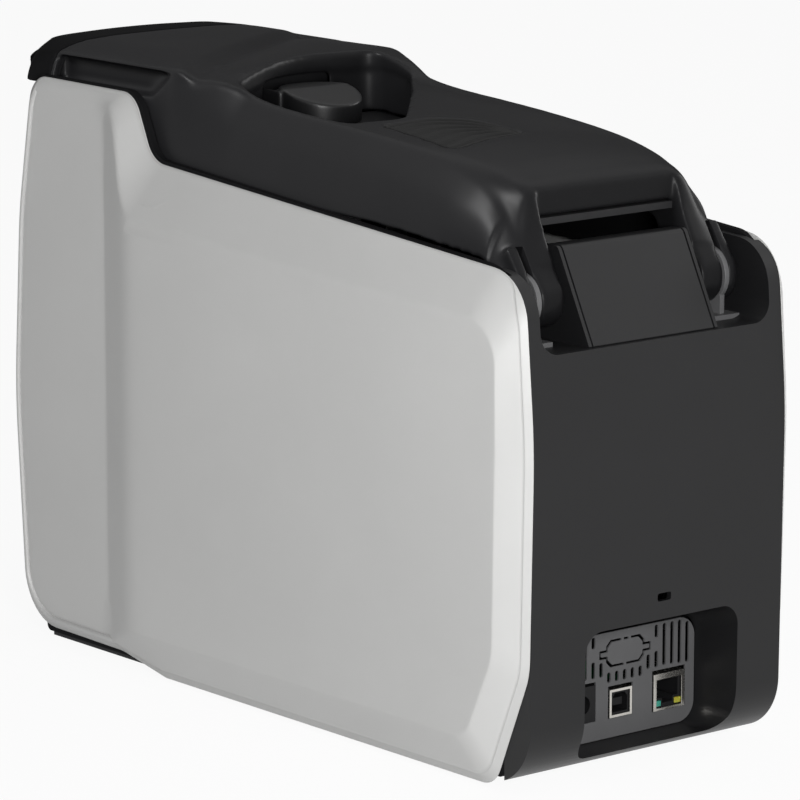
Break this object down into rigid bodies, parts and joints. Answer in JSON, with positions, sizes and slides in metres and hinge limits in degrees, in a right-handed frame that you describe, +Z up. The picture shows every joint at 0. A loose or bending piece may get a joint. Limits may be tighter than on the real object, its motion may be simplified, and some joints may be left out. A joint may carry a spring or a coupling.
{
  "type": "id card printer",
  "caption": "Desktop card printer with grey moulded side panels, black rear-hinged lid over ribbon and print head, roller feed train, front hopper door and rear port bay.",
  "frame": {"origin": "middle of the footprint, on the surface the feet stand on", "axes": "+X across the machine towards the side panel seen on the left from behind, -Y the front with the hopper door, +Y the rear with the port bay, +Z up"},
  "size_m": [0.158, 0.3757, 0.277],
  "materials": {
    "black_shell": "fine texture",
    "dark_trim": "fine texture",
    "grey_panel": "satin moulded",
    "pale_rim": "satin moulded",
    "rubber_black": "matte",
    "port_plate": "fine texture",
    "black_insert": "satin",
    "plated_shell": "satin",
    "light_lens": "clear",
    "circuit_board": "solder mask",
    "inner_plastic": "satin",
    "bracket_metal": "satin",
    "steel": "ground",
    "display_glass": "polished",
    "key_plastic": "satin",
    "card_white": "smooth",
    "gear_plastic": "moulded",
    "brass_gear": "machined",
    "motor_can": "plated",
    "cartridge_plastic": "moulded",
    "ribbon_gold": "smooth",
    "ribbon_dark": "smooth",
    "head_aluminium": "machined"
  },
  "bodies": {
    "root": {"base_pan": "black_shell", "rubber_feet": "rubber_black", "side_frame_right": "black_shell", "side_frame_left": "black_shell", "side_trims": "pale_rim", "side_panel_right": "grey_panel", "side_panel_left": "grey_panel", "rear_cover": "black_shell", "hinge_cover": "dark_trim", "port_plate": "port_plate", "dc_jack": "black_insert", "port_shells": "plated_shell", "port_inserts": "black_insert", "lan_lights": "light_lens", "main_board": "circuit_board", "fan_frame": "black_insert", "hinge_brackets": "bracket_metal", "hinge_pins": "steel", "front_fascia": "black_shell", "display_window": "display_glass", "panel_board": "circuit_board", "input_hopper": "inner_plastic", "card_stack": "card_white", "output_tray": "dark_trim", "feed_motor": "motor_can", "chassis_plates": "plated_shell", "chassis_screws": "plated_shell", "ribbon_cartridge": "cartridge_plastic", "ribbon_film": "ribbon_dark"},
    "lid": {"top_cover": "black_shell", "grip_pad": "dark_trim", "hood_trim": "black_shell", "lid_liner": "inner_plastic", "printhead": "head_aluminium", "head_carriage": "bracket_metal", "head_springs": "steel"},
    "release_lever": {"release_lever": "dark_trim"},
    "latch_hooks": {"latch_hooks": "bracket_metal"},
    "hopper_door": {"hopper_door": "black_shell"},
    "power_key": {"power_key": "key_plastic"},
    "menu_key": {"menu_key": "key_plastic"},
    "select_key": {"select_key": "key_plastic"},
    "card_weight": {"card_weight": "inner_plastic"},
    "platen": {"platen_shaft": "steel", "platen_roller": "rubber_black"},
    "feed_front": {"feed_shaft_front": "steel", "feed_roller_front": "rubber_black"},
    "feed_rear": {"feed_shaft_rear": "steel", "feed_roller_rear": "rubber_black"},
    "pick": {"pick_shaft": "steel", "pick_roller": "rubber_black"},
    "idler_pick": {"idler_gear_pick": "gear_plastic"},
    "idler_front": {"idler_gear_front": "gear_plastic"},
    "idler_rear": {"idler_gear_rear": "gear_plastic"},
    "pinion": {"motor_pinion": "brass_gear"},
    "pinch_front": {"pinch_roller_front": "steel"},
    "pinch_rear": {"pinch_roller_rear": "steel"},
    "supply_spool": {"supply_spool": "ribbon_gold"},
    "takeup_spool": {"takeup_spool": "ribbon_dark"},
    "fan": {"fan_rotor": "black_insert"}
  },
  "joints": [
    {"name": "lid_hinge", "type": "hinge", "parent": "root", "child": "lid", "pos_m": [0, 0.158, 0.2], "axis": [-1, 0, 0], "range_deg": [0, 65]},
    {"name": "lever_pivot", "type": "hinge", "parent": "lid", "child": "release_lever", "pos_m": [0, -0.052, 0.251], "axis": [1, 0, 0], "range_deg": [0, 12], "stiffness_Nm_per_rad": 0.4},
    {"name": "hook_pivot", "type": "hinge", "parent": "lid", "child": "latch_hooks", "pos_m": [0, -0.128, 0.264], "axis": [1, 0, 0], "range_deg": [0, 20]},
    {"name": "door_hinge", "type": "hinge", "parent": "root", "child": "hopper_door", "pos_m": [0, -0.1664, 0.1365], "axis": [1, 0, 0], "range_deg": [0, 80]},
    {"name": "power_press", "type": "slide", "parent": "root", "child": "power_key", "axis": [0, 1, 0], "range_m": [0, 0.0012], "stiffness_N_per_m": 200},
    {"name": "menu_press", "type": "slide", "parent": "root", "child": "menu_key", "axis": [0, 1, 0], "range_m": [0, 0.0012], "stiffness_N_per_m": 200},
    {"name": "select_press", "type": "slide", "parent": "root", "child": "select_key", "axis": [0, 1, 0], "range_m": [0, 0.0012], "stiffness_N_per_m": 200},
    {"name": "weight_slide", "type": "slide", "parent": "root", "child": "card_weight", "axis": [0, 0, 1], "range_m": [0, 0.02]},
    {"name": "platen_spin", "type": "hinge", "parent": "root", "child": "platen", "pos_m": [0, 0, 0.1332], "axis": [1, 0, 0], "continuous": true},
    {"name": "feed_front_spin", "type": "hinge", "parent": "root", "child": "feed_front", "pos_m": [0, -0.0482, 0.1332], "axis": [1, 0, 0], "continuous": true},
    {"name": "feed_rear_spin", "type": "hinge", "parent": "root", "child": "feed_rear", "pos_m": [0, 0.0482, 0.1332], "axis": [1, 0, 0], "continuous": true},
    {"name": "pick_spin", "type": "hinge", "parent": "root", "child": "pick", "pos_m": [0, -0.0964, 0.1332], "axis": [1, 0, 0], "continuous": true},
    {"name": "idler_pick_spin", "type": "hinge", "parent": "root", "child": "idler_pick", "pos_m": [0, -0.0723, 0.1332], "axis": [1, 0, 0], "continuous": true},
    {"name": "idler_front_spin", "type": "hinge", "parent": "root", "child": "idler_front", "pos_m": [0, -0.0241, 0.1332], "axis": [1, 0, 0], "continuous": true},
    {"name": "idler_rear_spin", "type": "hinge", "parent": "root", "child": "idler_rear", "pos_m": [0, 0.0241, 0.1332], "axis": [1, 0, 0], "continuous": true},
    {"name": "pinion_spin", "type": "hinge", "parent": "root", "child": "pinion", "pos_m": [0, -0.0241, 0.1141], "axis": [1, 0, 0], "continuous": true},
    {"name": "pinch_front_spin", "type": "hinge", "parent": "root", "child": "pinch_front", "pos_m": [0, -0.0482, 0.14506], "axis": [1, 0, 0], "continuous": true},
    {"name": "pinch_rear_spin", "type": "hinge", "parent": "root", "child": "pinch_rear", "pos_m": [0, 0.0482, 0.14506], "axis": [1, 0, 0], "continuous": true},
    {"name": "supply_spin", "type": "hinge", "parent": "root", "child": "supply_spool", "pos_m": [0, 0.05, 0.186], "axis": [1, 0, 0], "continuous": true},
    {"name": "takeup_spin", "type": "hinge", "parent": "root", "child": "takeup_spool", "pos_m": [0, -0.05, 0.186], "axis": [1, 0, 0], "continuous": true},
    {"name": "fan_spin", "type": "hinge", "parent": "root", "child": "fan", "pos_m": [-0.057, 0.118, 0.062], "axis": [1, 0, 0], "continuous": true}
  ],
  "couplings": [
    {"joint": "hook_pivot", "follows": "lever_pivot", "ratio": 1.6667},
    {"joint": "feed_front_spin", "follows": "platen_spin", "ratio": 1},
    {"joint": "feed_rear_spin", "follows": "platen_spin", "ratio": 1},
    {"joint": "pick_spin", "follows": "platen_spin", "ratio": 1},
    {"joint": "idler_pick_spin", "follows": "platen_spin", "ratio": -1},
    {"joint": "idler_front_spin", "follows": "platen_spin", "ratio": -1},
    {"joint": "idler_rear_spin", "follows": "platen_spin", "ratio": -1},
    {"joint": "pinion_spin", "follows": "platen_spin", "ratio": 1.7143}
  ]
}
